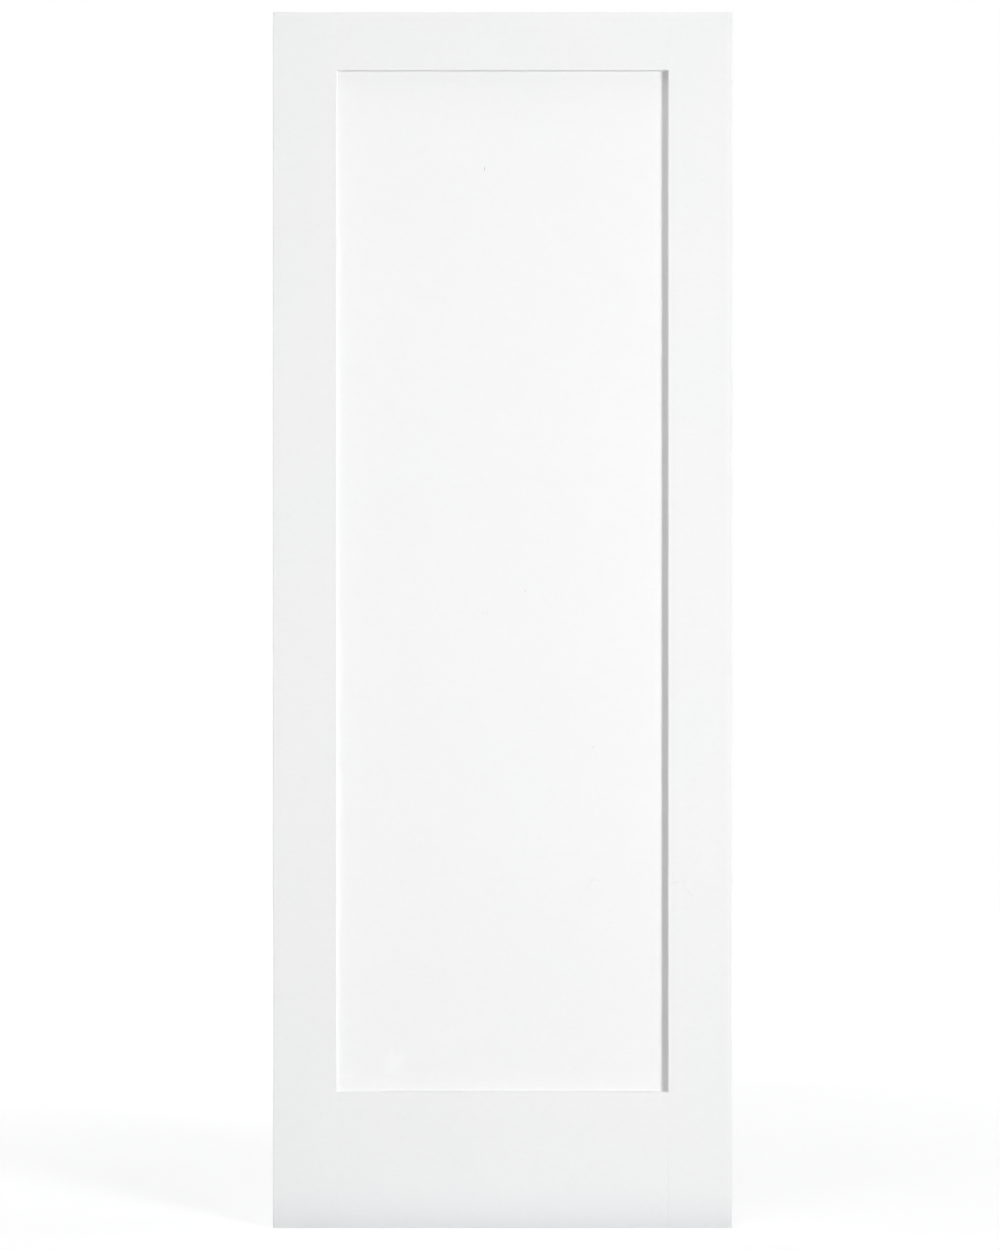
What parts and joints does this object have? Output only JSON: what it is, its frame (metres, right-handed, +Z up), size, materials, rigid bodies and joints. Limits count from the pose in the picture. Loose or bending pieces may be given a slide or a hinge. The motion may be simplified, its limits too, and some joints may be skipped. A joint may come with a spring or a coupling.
{
  "type": "shaker interior door slab",
  "caption": "Interior door slab with a flat recessed panel framed by square-edged stiles and rails, primed white on its faces and long edges and left blank for hinges and lock.",
  "frame": {"origin": "foot of the hinge edge, in the middle of the slab's thickness", "axes": "+X across the slab from the hinge edge to the latch edge, +Y through the thickness from the front face to the back face, +Z up from the foot"},
  "size_m": [0.77, 0.035, 2.04],
  "materials": {
    "primed_skin": "factory-primed fibreboard face skin, white, low sheen with a fine spray texture",
    "primed_band": "finger-jointed softwood band, primed white on its long edge and bare at its ends",
    "primed_panel": "flat fibreboard panel, factory-primed white on both faces",
    "block_core": "bare block core of glued softwood strips, seen at the top and bottom of the slab",
    "dowel_wood": "bare fluted hardwood dowel, hidden in the corner joints"
  },
  "bodies": {
    "root": {"bottom_left_dowel_1": "dowel_wood", "bottom_left_dowel_2": "dowel_wood", "bottom_left_dowel_3": "dowel_wood", "bottom_rail_back_skin": "primed_skin", "bottom_rail_core": "block_core", "bottom_rail_edge_band": "primed_band", "bottom_rail_front_skin": "primed_skin", "bottom_rail_groove_band": "primed_band", "bottom_right_dowel_1": "dowel_wood", "bottom_right_dowel_2": "dowel_wood", "bottom_right_dowel_3": "dowel_wood", "left_stile_back_skin": "primed_skin", "left_stile_core": "block_core", "left_stile_edge_band": "primed_band", "left_stile_front_skin": "primed_skin", "left_stile_groove_band": "primed_band", "panel": "primed_panel", "right_stile_back_skin": "primed_skin", "right_stile_core": "block_core", "right_stile_edge_band": "primed_band", "right_stile_front_skin": "primed_skin", "right_stile_groove_band": "primed_band", "top_left_dowel_1": "dowel_wood", "top_left_dowel_2": "dowel_wood", "top_rail_back_skin": "primed_skin", "top_rail_core": "block_core", "top_rail_edge_band": "primed_band", "top_rail_front_skin": "primed_skin", "top_rail_groove_band": "primed_band", "top_right_dowel_1": "dowel_wood", "top_right_dowel_2": "dowel_wood"}
  },
  "joints": []
}
